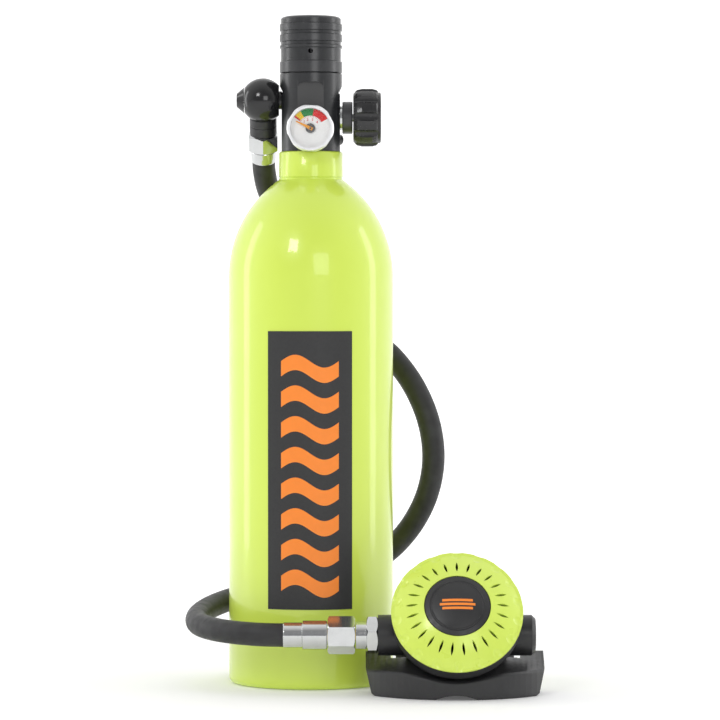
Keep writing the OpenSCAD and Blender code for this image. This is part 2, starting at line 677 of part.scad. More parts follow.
// lever: a post on a cross pin, and a sloping arm that meets the plate only with its tip
module demand_lever() {
  pin_x = 4;
  tip_x = -9.6;
  half_w = 2.4;
  color([0.7, 0.7, 0.72]) stage() union() {
    translate([pin_x, 4.2, 5.4]) rotate([90, 0, 0]) cylinder(r = 0.8, h = 8.4);
    translate([pin_x - 0.6, -half_w, 0.9]) cube([1.2, 2 * half_w, lever_top - 5.4]);
    translate([0, half_w, 0]) rotate([90, 0, 0]) linear_extrude(2 * half_w)
      polygon([[pin_x + 0.6, lever_top - 5], [pin_x + 0.6, lever_top - 4.1],
        [tip_x, lever_top - 0.4], [tip_x, lever_top - 1.4]]);
    translate([tip_x, half_w + 0.4, lever_top - 1]) rotate([90, 0, 0]) cylinder(r = 1, h = 2 * half_w + 0.8);
  }
}
module diaphragm() {
  color([0.3, 0.3, 0.3]) stage() translate([0, rim_v, rim_n - 4.95]) difference() {
    union() {
      cylinder(r = 29.7, h = 1.4);
      translate([0, 0, 1.4]) tube(29.7, 27.6, 0.9);
    }
    translate([0, 0, 0.7]) cylinder(r = 27.6, h = 3);
    translate([0, 0, -1]) cylinder(r = 11, h = 3);
  }
}
module diaphragm_plate() {
  color([0.7, 0.7, 0.72]) stage() translate([0, rim_v, rim_n - 4.95]) union() {
    translate([0, 0, -0.9]) cylinder(r = 14, h = 0.8);
    translate([0, 0, -0.5]) cylinder(r = 10.6, h = 2);
  }
}
module purge_button() {
  groove_r = button_r - 3.2;
  color([0.05, 0.05, 0.05]) stage() translate([0, rim_v, rim_n]) difference() {
    union() {
      intersection() {
        translate([0, 0, dome_h - dome_r - 0.2]) sphere(r = dome_r, $fn = 120);
        translate([0, 0, dome_h - 6.6]) cylinder(r = button_r - 0.35, h = 12);
      }
      translate([0, 0, dome_h - 6.6]) cylinder(r = button_r + 1.2, h = 1.6);
    }
    translate([0, 0, dome_h - 7.6]) cylinder(r = button_r - 2, h = 4.2);
    translate([0, 0, dome_h + 0.1 - groove_r * groove_r / 2 / dome_r]) torus(groove_r, 0.7);
  }
}
module purge_spring() {
  color([0.6, 0.6, 0.62]) stage() translate([0, rim_v, rim_n - 3.3])
    spring(7, dome_h - 3.4 + 3.2, 0.6, 3);
}
module front_cover() {
  wall = 1.8;
  dent_r = 6;
  color([0.72, 0.84, 0.3]) stage() translate([0, rim_v, rim_n]) difference() {
    union() {
      intersection() {
        translate([0, 0, dome_h - dome_r]) sphere(r = dome_r, $fn = 120);
        cylinder(r = cover_r, h = dome_h + 1);
      }
      translate([0, 0, 0.02 - 2.6]) cylinder(r = 29.78, h = 2.8);
      translate([0, 0, 0.02]) cylinder(r = cover_r, h = 1);
    }
    difference() {
      translate([0, 0, dome_h - dome_r]) sphere(r = dome_r - wall, $fn = 120);
      translate([-40, -40, -80]) cube([80, 80, 80]);
    }
    translate([0, 0, -4]) cylinder(r = 27.6, h = 5.2);
    translate([0, 0, -4]) cylinder(r = button_r, h = 20);
    for (k = [0:cover_slots - 1]) rotate([0, 0, 90 + k * 360 / cover_slots]) translate([22.1, 0, 2])
      intersection() {
        translate([0, 7.45, 0]) cylinder(r = 8.05, h = 10);
        translate([0, -7.45, 0]) cylinder(r = 8.05, h = 10);
      }
    // shallow round dents near the rim
    for (k = [0:17]) rotate([0, 0, k * 20 + 10]) translate([0, 0, dome_h - dome_r])
      rotate([0, asin((cover_r - 2.6) / dome_r), 0]) translate([0, 0, dome_r + dent_r - 0.5])
        sphere(r = dent_r);
  }
}
module exhaust_valve() {
  color([0.3, 0.3, 0.3]) stage() translate([0, floor_v - 0.35, 2]) rotate([90, 0, 0]) union() {
    cylinder(r = 9.4, h = 0.8);
    translate([0, 0, -4.4]) cylinder(r = 1, h = 4.6);
    translate([0, 0, -4.6]) cylinder(r = 1.7, h = 1);
  }
}
// tee: a low bowed hood under the case, open at both ends
function tee_front(x, inset) = bow_y - sqrt(pow(bow_r - inset, 2) - pow(x - tee_x, 2));
function tee_edge(x) =
  let (t = min(1, abs(x - tee_x) / dip_half))
  tee_edge_z - dip_depth * (1 + cos(180 * t)) / 2;
// one slice across the tee, with its corners cut off
function tee_slice(x, inset) =
  let (f = tee_front(x, inset), b = tee_back - inset, t = tee_edge(x) - inset, h = tee_high - inset)
  [
    [x, f + 1, inset], [x, b - 1, inset], [x, b, inset + 1], [x, b, h - 1],
    [x, b - 1, h], [x, f + 1, t + 0.2], [x, f, t - 0.8], [x, f, inset + 1]
  ];
module tee_outline(inset, ends) {
  reach = tee_half + 1.6;
  w = tee_half + ends;
  intersection() {
    skin([for (i = [-16:16]) tee_slice(tee_x + i * reach / 16, inset)],
      [tee_x - reach, tee_back - 3, 8], [tee_x + reach, tee_back - 3, 8]);
    translate([tee_x, -30, 0]) rotate([90, 0, 0]) linear_extrude(80)
      polygon([[-w, 13], [2.7 - w, 1.2], [4.3 - w, 0], [w - 4.3, 0], [w - 2.7, 1.2], [w, 13],
        [w, 40], [-w, 40]]);
  }
}
// room for the mouthpiece behind the tee's middle
module mouth_recess(grow) {
  stage() translate([-32 - grow, -8.6 - grow, -60]) cube([64 + 2 * grow, 40, 50 + grow]);
}
module exhaust_tee() {
  color([0.16, 0.16, 0.17]) difference() {
    tee_outline(0, 0);
    mouth_recess(0);
    difference() {
      tee_outline(tee_wall, 10);
      mouth_recess(tee_wall);
    }
    stage() case_hull(0.02);
    stage() ring_hull(0.1);
    stage() translate([-60, 0, 0]) rotate([0, 90, 0]) cylinder(r = tube_r + 0.1, h = 120);
    stage() translate([0, floor_v + 1, 2]) rotate([90, 0, 0]) cylinder(r = 11.4, h = 6);
    translate([tee_x, -90, arch_h - arch_r]) rotate([-90, 0, 0]) cylinder(r = arch_r, h = 60);
  }
}
module mouthpiece() {
  color([0.1, 0.1, 0.1]) stage() translate([0, rim_v, 0]) difference() {
    union() {
      translate([0, 0, -26]) oval(11, 8.3, 12);
      translate([0, 0, -28.4]) oval(19, 10.6, 3);
      for (s = [-1, 1]) translate([s * 18 - 4.5, -6, -38.4]) cube([9, 12, 2.2]);
      for (s = [-1, 1]) translate([s * 17 - 1.4, -5, -38.4]) cube([2.8, 10, 12]);
      translate([0, 0, -30.6]) oval(10, 6.6, 4);
    }
    translate([0, 0, -40]) oval(9.6, 5, 17);
    translate([0, 0, -23.2]) oval(11, 6.52, 12);
    translate([0, 0, -18.4]) difference() {
      oval(11, 12, 3.2);
      translate([0, 0, -1]) oval(11, 7.7, 6);
    }
  }
}
module mouthpiece_tie() {
  color([0.05, 0.05, 0.05]) stage() translate([0, rim_v, -18.3]) difference() {
    union() {
      oval(11, 9, 3);
      translate([-3, 8.35, -0.6]) cube([6, 2.65, 4.2]);
    }
    translate([0, 0, -1]) oval(11, 7.72, 6);
  }
}

cylinder_shell();  // cylinder
tank_label();
neck_o_ring();
valve_body();
dip_tube();
seat_insert();
packing_ring();
bonnet_nut();
stem_o_ring();
valve_stem();
knob();
knob_screw();
seat_carrier();
valve_seat();
burst_disc_plug();
burst_disc();
fill_nipple();
fill_check();
check_spring();
first_stage_cap();
piston();
piston_o_ring();
piston_spring();
gauge_case();
gauge_socket();
dial_plate();
bourdon_tube();
gauge_needle();
needle_hub();
gauge_lens();
swivel_bolt();
swivel_end_cap();
swivel_ball();
swivel_collar();
upper_hose_nut();
upper_ferrule();
hose();
lower_ferrule();
lower_hose_nut();
hose_barb();
inlet_fitting();
regulator_case();
valve_barrel();
orifice();
poppet();
poppet_spring();
demand_lever();
diaphragm();
diaphragm_plate();
purge_button();
purge_spring();
front_cover();
exhaust_valve();
exhaust_tee();
mouthpiece();
mouthpiece_tie();
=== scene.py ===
"""Looks for the small dive cylinder: camera, light, hose, detailed pieces and materials.

Metres, in the CAD frame: the origin is the centre of the cylinder's base, +X is towards the
knob, +Y is the back and +Z is up.
"""
import json
import math

import bmesh
import bpy
from mathutils import Matrix, Vector


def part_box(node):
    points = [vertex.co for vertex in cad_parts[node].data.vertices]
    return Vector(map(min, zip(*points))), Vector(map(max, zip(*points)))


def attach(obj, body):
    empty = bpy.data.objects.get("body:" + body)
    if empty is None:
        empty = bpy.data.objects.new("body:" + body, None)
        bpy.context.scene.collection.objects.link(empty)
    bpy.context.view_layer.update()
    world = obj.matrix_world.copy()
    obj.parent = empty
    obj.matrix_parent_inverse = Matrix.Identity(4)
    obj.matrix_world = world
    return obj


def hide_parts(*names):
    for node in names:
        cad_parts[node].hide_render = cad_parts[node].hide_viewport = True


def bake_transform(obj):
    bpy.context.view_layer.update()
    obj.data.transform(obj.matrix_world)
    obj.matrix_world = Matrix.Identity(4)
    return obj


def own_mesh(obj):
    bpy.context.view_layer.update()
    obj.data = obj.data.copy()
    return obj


MM = 0.001
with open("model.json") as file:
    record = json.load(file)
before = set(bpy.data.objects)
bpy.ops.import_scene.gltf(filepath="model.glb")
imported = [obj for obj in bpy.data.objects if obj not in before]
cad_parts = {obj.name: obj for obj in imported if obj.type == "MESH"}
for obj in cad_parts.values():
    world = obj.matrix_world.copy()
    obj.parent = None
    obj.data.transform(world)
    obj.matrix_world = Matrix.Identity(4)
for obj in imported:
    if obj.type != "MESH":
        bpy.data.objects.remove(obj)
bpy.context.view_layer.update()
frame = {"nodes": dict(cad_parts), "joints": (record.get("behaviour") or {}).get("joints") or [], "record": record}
nodes = frame["nodes"]


# ---- camera ----

CAMERA_PLACE = (0.0248, -1.8, 0.2)
CAMERA_DOWN = 1.18  # degrees below level
LENS = 177.85  # millimetres, on a 36 mm sensor

camera_data = bpy.data.cameras.new("camera")
camera_data.lens = LENS
camera_data.sensor_width = 36
camera = bpy.data.objects.new("camera", camera_data)
camera.location = CAMERA_PLACE
camera.rotation_euler = (math.radians(90 - CAMERA_DOWN), 0, 0)
bpy.context.collection.objects.link(camera)
bpy.context.scene.camera = camera


# ---- places read from the frame ----

def middle(node):
    low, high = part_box(node)
    return (Vector(low) + Vector(high)) / 2


def low_of(node):
    return Vector(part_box(node)[0])


def high_of(node):
    return Vector(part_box(node)[1])


JOINTS = {joint["name"]: joint for joint in frame["joints"]}
BOTTLE_RADIUS = high_of("cylinder").x
SWIVEL = Vector(JOINTS["swivel_turn"]["pos_m"])
INLET = Vector(JOINTS["second_stage_turn"]["pos_m"])
PRESS = Vector(JOINTS["purge_press"]["axis"]).normalized()
LEG_TILT = math.radians(27)
STAGE_X = 72 * MM  # where the cover's axis crosses the inlet tube's
RIM_UP = 2 * MM  # the cover's centre above the inlet tube's axis, in the stage's frame
RIM_OUT = 21 * MM  # the foot of the cover's dome
DOME_HIGH = 10 * MM
DOME_RADIUS = 56.52 * MM
BUTTON_SUNK = 0.2 * MM  # the button's face below the dome


def stage_matrix():
    """The second stage's own frame: X along the inlet tube, Z out of the front cover."""
    front = -PRESS
    up = front.cross(Vector((1, 0, 0)))
    turn = Matrix((Vector((1, 0, 0)), up, front)).transposed()
    return Matrix.Translation((STAGE_X, INLET.y, INLET.z)) @ turn.to_4x4()


def leg(distance):
    """A point on the swivel's leg, that far from the ball's centre."""
    down = Vector((0, math.sin(LEG_TILT), -math.cos(LEG_TILT)))
    return SWIVEL + distance * down


def on_button(across, up):
    """Height of the purge button's face in the stage's frame."""
    sphere_centre = RIM_OUT + DOME_HIGH - BUTTON_SUNK - DOME_RADIUS
    return sphere_centre + math.sqrt(DOME_RADIUS ** 2 - across * across - up * up)


# ---- mesh helpers ----

def new_object(name, mesh_maker, material, smooth=40):
    """A mesh object from a function that fills a bmesh; edges sharper than smooth stay crisp."""
    bm = bmesh.new()
    mesh_maker(bm)
    bmesh.ops.recalc_face_normals(bm, faces=bm.faces)
    for face in bm.faces:
        face.smooth = True
    for edge in bm.edges:
        if len(edge.link_faces) == 2 and edge.calc_face_angle() > math.radians(smooth):
            edge.smooth = False
    mesh = bpy.data.meshes.new(name)
    bm.to_mesh(mesh)
    bm.free()
    mesh.materials.append(material)
    made = bpy.data.objects.new(name, mesh)
    bpy.context.collection.objects.link(made)
    return made


def skin_rings(bm, rings, loop=False):
    """Joins rings of points into one skin, with closed ends or joined round as a loop."""
    made = [[bm.verts.new(p) for p in ring] for ring in rings]
    pairs = list(zip(made, made[1:]))
    if loop:
        pairs.append((made[-1], made[0]))
    for a, b in pairs:
        for i in range(len(a)):
            j = (i + 1) % len(a)
            bm.faces.new((a[i], a[j], b[j], b[i]))
    if not loop:
        bm.faces.new(list(reversed(made[0])))
        bm.faces.new(made[-1])


def smooth_line(points, steps):
    """A Catmull-Rom curve through the points."""
    found = []
    last = len(points) - 1
    for i in range(last):
        a = points[max(i - 1, 0)]
        b = points[i]
        c = points[i + 1]
        d = points[min(i + 2, last)]
        for k in range(steps):
            t = k / steps
            found.append(0.5 * (2 * b + (c - a) * t + (2 * a - 5 * b + 4 * c - d) * t * t
                                + (3 * b - a - 3 * c + d) * t ** 3))
    found.append(points[last])
    return found


def on_circle(radius, k, steps, height=0.0):
    """Point k of a circle about Z that has that many steps."""
    angle = 2 * math.pi * k / steps
    return Vector((radius * math.cos(angle), radius * math.sin(angle), height))


def tube_rings(line, radius, sides, first_side=Vector((1, 0, 0))):
    """Rings of a round tube along a line, turned as little as possible from ring to ring."""
    rings = []
    side = first_side
    for i, centre in enumerate(line):
        ahead = line[min(i + 1, len(line) - 1)]
        behind = line[max(i - 1, 0)]
        way = (ahead - behind).normalized()
        side = (side - side.dot(way) * way).normalized()
        other = way.cross(side)
        ring = [on_circle(radius, k, sides) for k in range(sides)]
        rings.append([centre + point.x * side + point.y * other for point in ring])
    return rings


def arc(centre_r, centre_z, radius, start, end, steps):
    """Profile points on an arc, with the angles in degrees from the outward direction."""
    points = []
    for k in range(steps + 1):
        angle = math.radians(start + (end - start) * k / steps)
        points.append((centre_r + radius * math.cos(angle), centre_z + radius * math.sin(angle)))
    return points


# ---- materials ----

class Surface:
    """A Principled material with helpers that add grain, wear with a painted edge highlight, and relief to it."""

    def __init__(self, name, colour, roughness, metallic=0.0, specular=0.5):
        self.material = bpy.data.materials.new(name)
        self.material.use_nodes = True
        self.tree = self.material.node_tree
        self.shader = self.tree.nodes["Principled BSDF"]
        self.shader.inputs["Base Color"].default_value = (*colour, 1)
        self.shader.inputs["Roughness"].default_value = roughness
        self.shader.inputs["Metallic"].default_value = metallic
        self.shader.inputs["Specular IOR Level"].default_value = specular
        self.material.diffuse_color = (*colour, 1)
        self.place = self.tree.nodes.new("ShaderNodeTexCoord").outputs["Object"]
        self.relief = None

    def node(self, kind, **values):
        made = self.tree.nodes.new(kind)
        for key, value in values.items():
            setattr(made, key, value)
        return made

    def link(self, out, into):
        self.tree.links.new(out, into)

    def stretched(self, scale):
        mapping = self.node("ShaderNodeMapping")
        mapping.inputs["Scale"].default_value = scale
        self.link(self.place, mapping.inputs["Vector"])
        return mapping.outputs["Vector"]

    def noise(self, scale, detail=3.0, where=None):
        made = self.node("ShaderNodeTexNoise")
        made.inputs["Scale"].default_value = scale
        made.inputs["Detail"].default_value = detail
        self.link(where or self.place, made.inputs["Vector"])
        return made.outputs["Fac"]

    def ranged(self, value, low, high, from_low=0.3, from_high=0.7):
        made = self.node("ShaderNodeMapRange")
        made.inputs["From Min"].default_value = from_low
        made.inputs["From Max"].default_value = from_high
        made.inputs["To Min"].default_value = low
        made.inputs["To Max"].default_value = high
        self.link(value, made.inputs["Value"])
        return made.outputs["Result"]

    def split(self):
        """The X, Y and Z of the point, as sockets."""
        made = self.node("ShaderNodeSeparateXYZ")
        self.link(self.place, made.inputs["Vector"])
        return made.outputs

    def combine(self, operation, one, other):
        made = self.node("ShaderNodeMath", operation=operation)
        self.link(one, made.inputs[0])
        self.link(other, made.inputs[1])
        return made.outputs["Value"]

    def within(self, value, middle_value, reach):
        """1 where the value lies within reach of the middle, and 0 elsewhere."""
        made = self.node("ShaderNodeMath", operation="COMPARE")
        self.link(value, made.inputs[0])
        made.inputs[1].default_value = middle_value
        made.inputs[2].default_value = reach
        return made.outputs["Value"]

    def mix_in(self, factor, other):
        """Mixes another colour over the present one, by the factor's value."""
        base = self.shader.inputs["Base Color"]
        mix = self.node("ShaderNodeMix", data_type="RGBA")
        self.link(factor, mix.inputs["Factor"])
        if base.is_linked:
            self.link(base.links[0].from_socket, mix.inputs["A"])
        else:
            mix.inputs["A"].default_value = base.default_value
        mix.inputs["B"].default_value = (*other, 1)
        self.link(mix.outputs["Result"], base)

    def vary_colour(self, value, other, amount):
        """Mixes towards another colour by up to amount, where value is high."""
        self.mix_in(self.ranged(value, 0, amount), other)

    def vary_roughness(self, value, low, high):
        self.link(self.ranged(value, low, high), self.shader.inputs["Roughness"])

    def bump(self, value, depth_mm, strength=1.0):
        made = self.node("ShaderNodeBump")
        made.inputs["Strength"].default_value = strength
        made.inputs["Distance"].default_value = depth_mm * MM
        self.link(value, made.inputs["Height"])
        if self.relief is not None:
            self.link(self.relief, made.inputs["Normal"])
        self.relief = made.outputs["Normal"]
        self.link(self.relief, self.shader.inputs["Normal"])

    def soft_edges(self, radius_mm):
        made = self.node("ShaderNodeBevel", samples=4)
        made.inputs["Radius"].default_value = radius_mm * MM
        self.relief = made.outputs["Normal"]
        self.link(self.relief, self.shader.inputs["Normal"])

    def edge_wear_and_highlight(self, colour, amount):
        """Lightens the outer edges: partly wear where handling polishes them, partly a painted highlight along
        them.
        """
        geometry = self.node("ShaderNodeNewGeometry")
        edges = self.ranged(geometry.outputs["Pointiness"], 0, amount, 0.51, 0.6)
        self.mix_in(edges, colour)

    def coat(self, weight, roughness):
        self.shader.inputs["Coat Weight"].default_value = weight
        self.shader.inputs["Coat Roughness"].default_value = roughness


def lime_paint():
    """Powder-coated gloss: a faint orange-peel relief under a clear coat."""
    s = Surface("lime_paint", (0.68, 0.85, 0.105), 0.3)
    s.soft_edges(0.3)
    s.vary_colour(s.noise(14, 2), (0.62, 0.80, 0.08), 0.35)
    s.vary_roughness(s.noise(60, 4), 0.28, 0.4)
    s.bump(s.noise(900, 2), 0.012, 0.5)
    s.coat(0.7, 0.06)
    return s.material


def lime_plastic():
    s = Surface("lime_plastic", (0.69, 0.86, 0.12), 0.3)
    s.soft_edges(0.35)
    s.vary_colour(s.noise(40, 2), (0.62, 0.8, 0.09), 0.3)
    s.vary_roughness(s.noise(150, 4), 0.26, 0.4)
    s.bump(s.noise(1600, 2), 0.01, 0.5)
    s.coat(0.35, 0.12)
    return s.material


def anodised(name):
    """Turned and anodised aluminium, with fine rings round the axis; returns the rings too."""
    s = Surface(name, (0.017, 0.018, 0.02), 0.26, specular=0.65)
    s.soft_edges(0.2)
    rings = s.noise(1, 3, s.stretched((12, 12, 5200)))
    s.vary_colour(s.noise(220, 3), (0.026, 0.027, 0.029), 0.5)
    s.vary_roughness(rings, 0.27, 0.33)
    return s, rings


def black_anodised():
    """The anodised look with lightened edges: polish wear and a painted edge highlight."""
    s, rings = anodised("black_anodised")
    # painted highlight: the outer edges are lightened, partly as polish wear and partly to stand in for the light
    # they catch
    s.edge_wear_and_highlight((0.07, 0.07, 0.075), 0.35)
    s.bump(rings, 0.0025, 0.35)
    return s.material


FLAT_Y = -14.25 * MM  # the flat milled on the valve's front
FLAT_HALF = 6.55 * MM
FLAT_MIDDLE = 285 * MM
FLAT_HALF_HIGH = 18.5 * MM


def valve_metal():
    """The anodised look, with the flat milled on the valve's front left matt and lighter."""
    s, rings = anodised("valve_metal")
    place = s.split()
    across = s.combine("MULTIPLY", s.within(place["Y"], FLAT_Y, 0.1 * MM),
                       s.within(place["X"], 0.0, FLAT_HALF))
    flat = s.combine("MULTIPLY", across, s.within(place["Z"], FLAT_MIDDLE, FLAT_HALF_HIGH))
    s.mix_in(flat, (0.045, 0.045, 0.046))
    roughness = s.shader.inputs["Roughness"]
    turned_roughness = roughness.links[0].from_socket
    s.link(s.combine("ADD", turned_roughness, s.ranged(flat, 0.0, 0.3, 0.0, 1.0)), roughness)
    s.bump(rings, 0.0025, 0.35)
    s.bump(s.combine("MULTIPLY", flat, s.noise(3200, 2)), 0.02, 0.5)
    return s.material


def moulded_black(name, colour, roughness, grain_mm=0.02):
    s = Surface(name, colour, roughness)
    s.soft_edges(0.3)
    s.vary_colour(s.noise(90, 4), tuple(1.9 * c for c in colour), 0.4)
    s.vary_roughness(s.noise(420, 4), roughness - 0.07, roughness + 0.08)
    s.bump(s.noise(2600, 3), grain_mm, 0.5)
    return s.material


def tee_grey():
    """Satin moulding with rounded edges."""
    s = Surface("tee_grey", (0.024, 0.024, 0.0255), 0.36)
    s.soft_edges(0.9)
    s.vary_colour(s.noise(90, 4), (0.036, 0.036, 0.038), 0.4)
    s.vary_roughness(s.noise(420, 4), 0.3, 0.42)
    s.bump(s.noise(2600, 3), 0.015, 0.4)
    return s.material


def gloss_black():
    s = Surface("gloss_black", (0.008, 0.008, 0.009), 0.14, specular=0.55)
    s.soft_edges(0.3)
    s.vary_colour(s.noise(160, 3), (0.02, 0.02, 0.021), 0.5)
    s.vary_roughness(s.noise(300, 4), 0.1, 0.2)
    s.bump(s.noise(700, 2), 0.006, 0.4)
    return s.material


def polished(name, colour, roughness):
    """Plated metal with fine turning marks and a few dull patches."""
    s = Surface(name, colour, roughness, 1.0)
    s.soft_edges(0.25)
    marks = s.noise(1, 3, s.stretched((4000, 40, 40)))
    s.vary_colour(s.noise(180, 3), tuple(0.8 * c for c in colour), 0.45)
    s.vary_roughness(marks, roughness * 0.7, roughness * 1.5)
    s.bump(marks, 0.004, 0.5)
    return s.material


def satin_silver():
    """Bright satin plating of the gauge's case."""
    s = Surface("satin_silver", (0.86, 0.86, 0.87), 0.36, 0.85)
    s.vary_colour(s.noise(150, 3), (0.76, 0.76, 0.78), 0.4)
    s.vary_roughness(s.noise(400, 3), 0.32, 0.42)
    s.bump(s.noise(1500, 2), 0.002, 0.3)
    return s.material


def hose_rubber():
    """Matt rubber with a fine wrapped-cloth imprint and a little dust."""
    s = Surface("hose_rubber", (0.022, 0.022, 0.023), 0.5, specular=0.4)
    weave = s.node("ShaderNodeTexVoronoi")
    weave.inputs["Scale"].default_value = 1500
    s.link(s.place, weave.inputs["Vector"])
    s.vary_colour(s.noise(120, 5), (0.05, 0.05, 0.052), 0.5)
    s.vary_roughness(s.noise(260, 4), 0.42, 0.6)
    s.bump(weave.outputs["Distance"], 0.03, 0.45)
    s.bump(s.noise(3000, 3), 0.015, 0.4)
    return s.material


def silicone():
    s = Surface("soft_silicone", (0.02, 0.02, 0.021), 0.46, specular=0.45)
    s.vary_colour(s.noise(140, 4), (0.04, 0.04, 0.042), 0.5)
    s.vary_roughness(s.noise(500, 3), 0.38, 0.55)
    s.bump(s.noise(2400, 3), 0.02, 0.45)
    s.shader.inputs["Sheen Weight"].default_value = 0.15
    return s.material


def printed(name, colour, roughness=0.45, specular=0.5):
    s = Surface(name, colour, roughness, specular=specular)
    s.vary_colour(s.noise(300, 4), tuple(0.88 * c for c in colour), 0.35)
    s.vary_roughness(s.noise(800, 4), roughness - 0.08, roughness + 0.1)
    s.bump(s.noise(2200, 2), 0.006, 0.4)
    return s.material


def clear_glass():
    """A thin clear sheet: mostly see-through, with a faint smudged gloss."""
    s = Surface("clear_glass", (0.97, 0.99, 0.99), 0.04)
    s.vary_roughness(s.noise(900, 4), 0.02, 0.08)
    s.link(s.ranged(s.noise(120, 3), 0.02, 0.035), s.shader.inputs["Alpha"])
    return s.material


LIME = lime_paint()
LIME_PLASTIC = lime_plastic()
ANODISED = black_anodised()
VALVE_METAL = valve_metal()
GLOSS = gloss_black()
MOULDED = moulded_black("moulded_black", (0.018, 0.018, 0.019), 0.36)
KNOB_BLACK = moulded_black("knob_black", (0.018, 0.018, 0.019), 0.22, 0.01)
TEE_GREY = tee_grey()
CHROME = polished("chrome", (0.66, 0.67, 0.67), 0.1)
BRUSHED = satin_silver()
BRASS = polished("brass", (0.72, 0.55, 0.24), 0.24)
STEEL = polished("steel", (0.6, 0.6, 0.62), 0.3)
COPPER = polished("copper_foil", (0.72, 0.4, 0.26), 0.3)
RUBBER = hose_rubber()
SILICONE = silicone()
LABEL = printed("label_charcoal", (0.026, 0.026, 0.027), 0.5)
ORANGE = printed("printed_orange", (1.0, 0.27, 0.028), 0.42)
WHITE_SEAL = printed("white_seal", (0.85, 0.85, 0.8), 0.5)
DIAL_WHITE = printed("dial_white", (0.9, 0.9, 0.89), 0.55, 0.3)
DIAL_RED = printed("dial_red", (0.66, 0.012, 0.012), 0.6, 0.15)
DIAL_YELLOW = printed("dial_yellow", (0.86, 0.6, 0.01), 0.6, 0.15)
DIAL_GREEN = printed("dial_green", (0.005, 0.24, 0.05), 0.6, 0.15)
HUB_GREY = printed("hub_grey", (0.085, 0.085, 0.09), 0.5, 0.2)
NEEDLE = printed("needle_gold", (0.8, 0.33, 0.03), 0.5, 0.2)
GLASS = clear_glass()

SLOT_LOOKS = {
    "bottle_paint": LIME, "label": LABEL, "black_anodised": ANODISED, "gloss_black": GLOSS,
    "chrome": CHROME, "brass": BRASS, "steel": STEEL, "rubber": RUBBER, "seal": WHITE_SEAL,
    "copper": COPPER, "silver_case": BRUSHED, "dial": DIAL_WHITE, "needle_orange": NEEDLE,
    "glass": GLASS, "cover_plastic": LIME_PLASTIC, "black_plastic": MOULDED,
    "grey_plastic": TEE_GREY, "silicone": SILICONE,
}
NODE_LOOKS = {"knob": KNOB_BLACK, "needle_hub": HUB_GREY, "valve_body": VALVE_METAL}
for subpart in frame["record"]["subparts"]:
    look = NODE_LOOKS.get(subpart["node"], SLOT_LOOKS[subpart["material_slot"]])
    mesh = nodes[subpart["node"]].data
    mesh.materials.clear()
    mesh.materials.append(look)


# ---- hose ----

HOSE_RADIUS = 5.8 * MM
HOSE_MOUTH = 33.8 * MM  # along the swivel's leg, where it leaves the ferrule
HOSE_ENDS = (-12.5 * MM, -5 * MM)  # its last two points, on the inlet's axis
ROUTE_MM = [
    (-24.1, 18.1, 259.2), (-23, 23.2, 252.6), (-21, 28.8, 246.5),
    (-17, 37, 237.5), (-12, 44, 226), (-4.5, 49, 212),
    (5.5, 51, 197.5), (18, 49.5, 184), (31, 43.5, 173), (43, 35, 162), (53, 28.5, 148),
    (60, 25, 131), (62.5, 24.5, 113), (60, 27.5, 95.5), (53, 33, 79.5), (42.5, 40, 66),
    (30, 46, 56.5), (15, 50, 50.5), (-1.5, 50.5, 46.5), (-17.5, 47, 43.5), (-32, 39, 41),
    (-44, 27, 38.5), (-52.5, 12, 36), (-57, -5.5, 33.5), (-56, -23, 31.5), (-49, -39, 30.5),
    (-37.5, -51, 29.8), (-24, -57, 29.3),
]


def make_hose():
    route = [leg(HOSE_MOUTH + 1.5 * MM)]
    route += [Vector(point) * MM for point in ROUTE_MM]
    route += [Vector((x, INLET.y, INLET.z)) for x in HOSE_ENDS]
    line = [leg(HOSE_MOUTH)] + smooth_line(route, 8)
    rings = tube_rings(line, HOSE_RADIUS, 40)
    hose = new_object("hose_cord", lambda bm: skin_rings(bm, rings), RUBBER, 60)
    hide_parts("hose")
    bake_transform(hose)


make_hose()


# ---- floor and light ----

FLOOR_HALF = 4.0
FLOOR_BACK = 1.2  # where it starts to curve up
CURVE_RADIUS = 0.8
BACKDROP_TOP = 3.0
FLOOR_GAP = 0.2 * MM  # under the bottle


def make_stage():
    """A pale floor that curves up into the backdrop and glows more towards the back."""
    s = Surface("floor_white", (0.93, 0.93, 0.93), 0.7, specular=0.1)
    s.vary_roughness(s.noise(3, 2), 0.65, 0.75)
    s.vary_colour(s.noise(2, 2), (0.92, 0.92, 0.92), 0.3)
    s.shader.inputs["Emission Color"].default_value = (1, 1, 1, 1)
    glow = s.ranged(s.split()["Y"], 0.1, 0.5, 0.1, 0.9)
    s.link(glow, s.shader.inputs["Emission Strength"])
    profile = [(-FLOOR_HALF, 0.0), (FLOOR_BACK, 0.0)]
    profile += arc(FLOOR_BACK, CURVE_RADIUS, CURVE_RADIUS, -84, 0, 14)
    profile += [(FLOOR_BACK + CURVE_RADIUS, BACKDROP_TOP)]

    def make(bm):
        rows = [[bm.verts.new((x, y, z - FLOOR_GAP)) for x in (-FLOOR_HALF, FLOOR_HALF)]
                for y, z in profile]
        for a, b in zip(rows, rows[1:]):
            bm.faces.new((a[0], a[1], b[1], b[0]))

    floor = new_object("floor", make, s.material)


def area_light(name, place, aim, size, watts):
    data = bpy.data.lights.new(name, "AREA")
    data.shape = "RECTANGLE"
    data.size, data.size_y = size
    data.energy = watts
    light = bpy.data.objects.new(name, data)
    light.location = place
    light.rotation_euler = (Vector(aim) - Vector(place)).to_track_quat("-Z", "Y").to_euler()
    bpy.context.collection.objects.link(light)


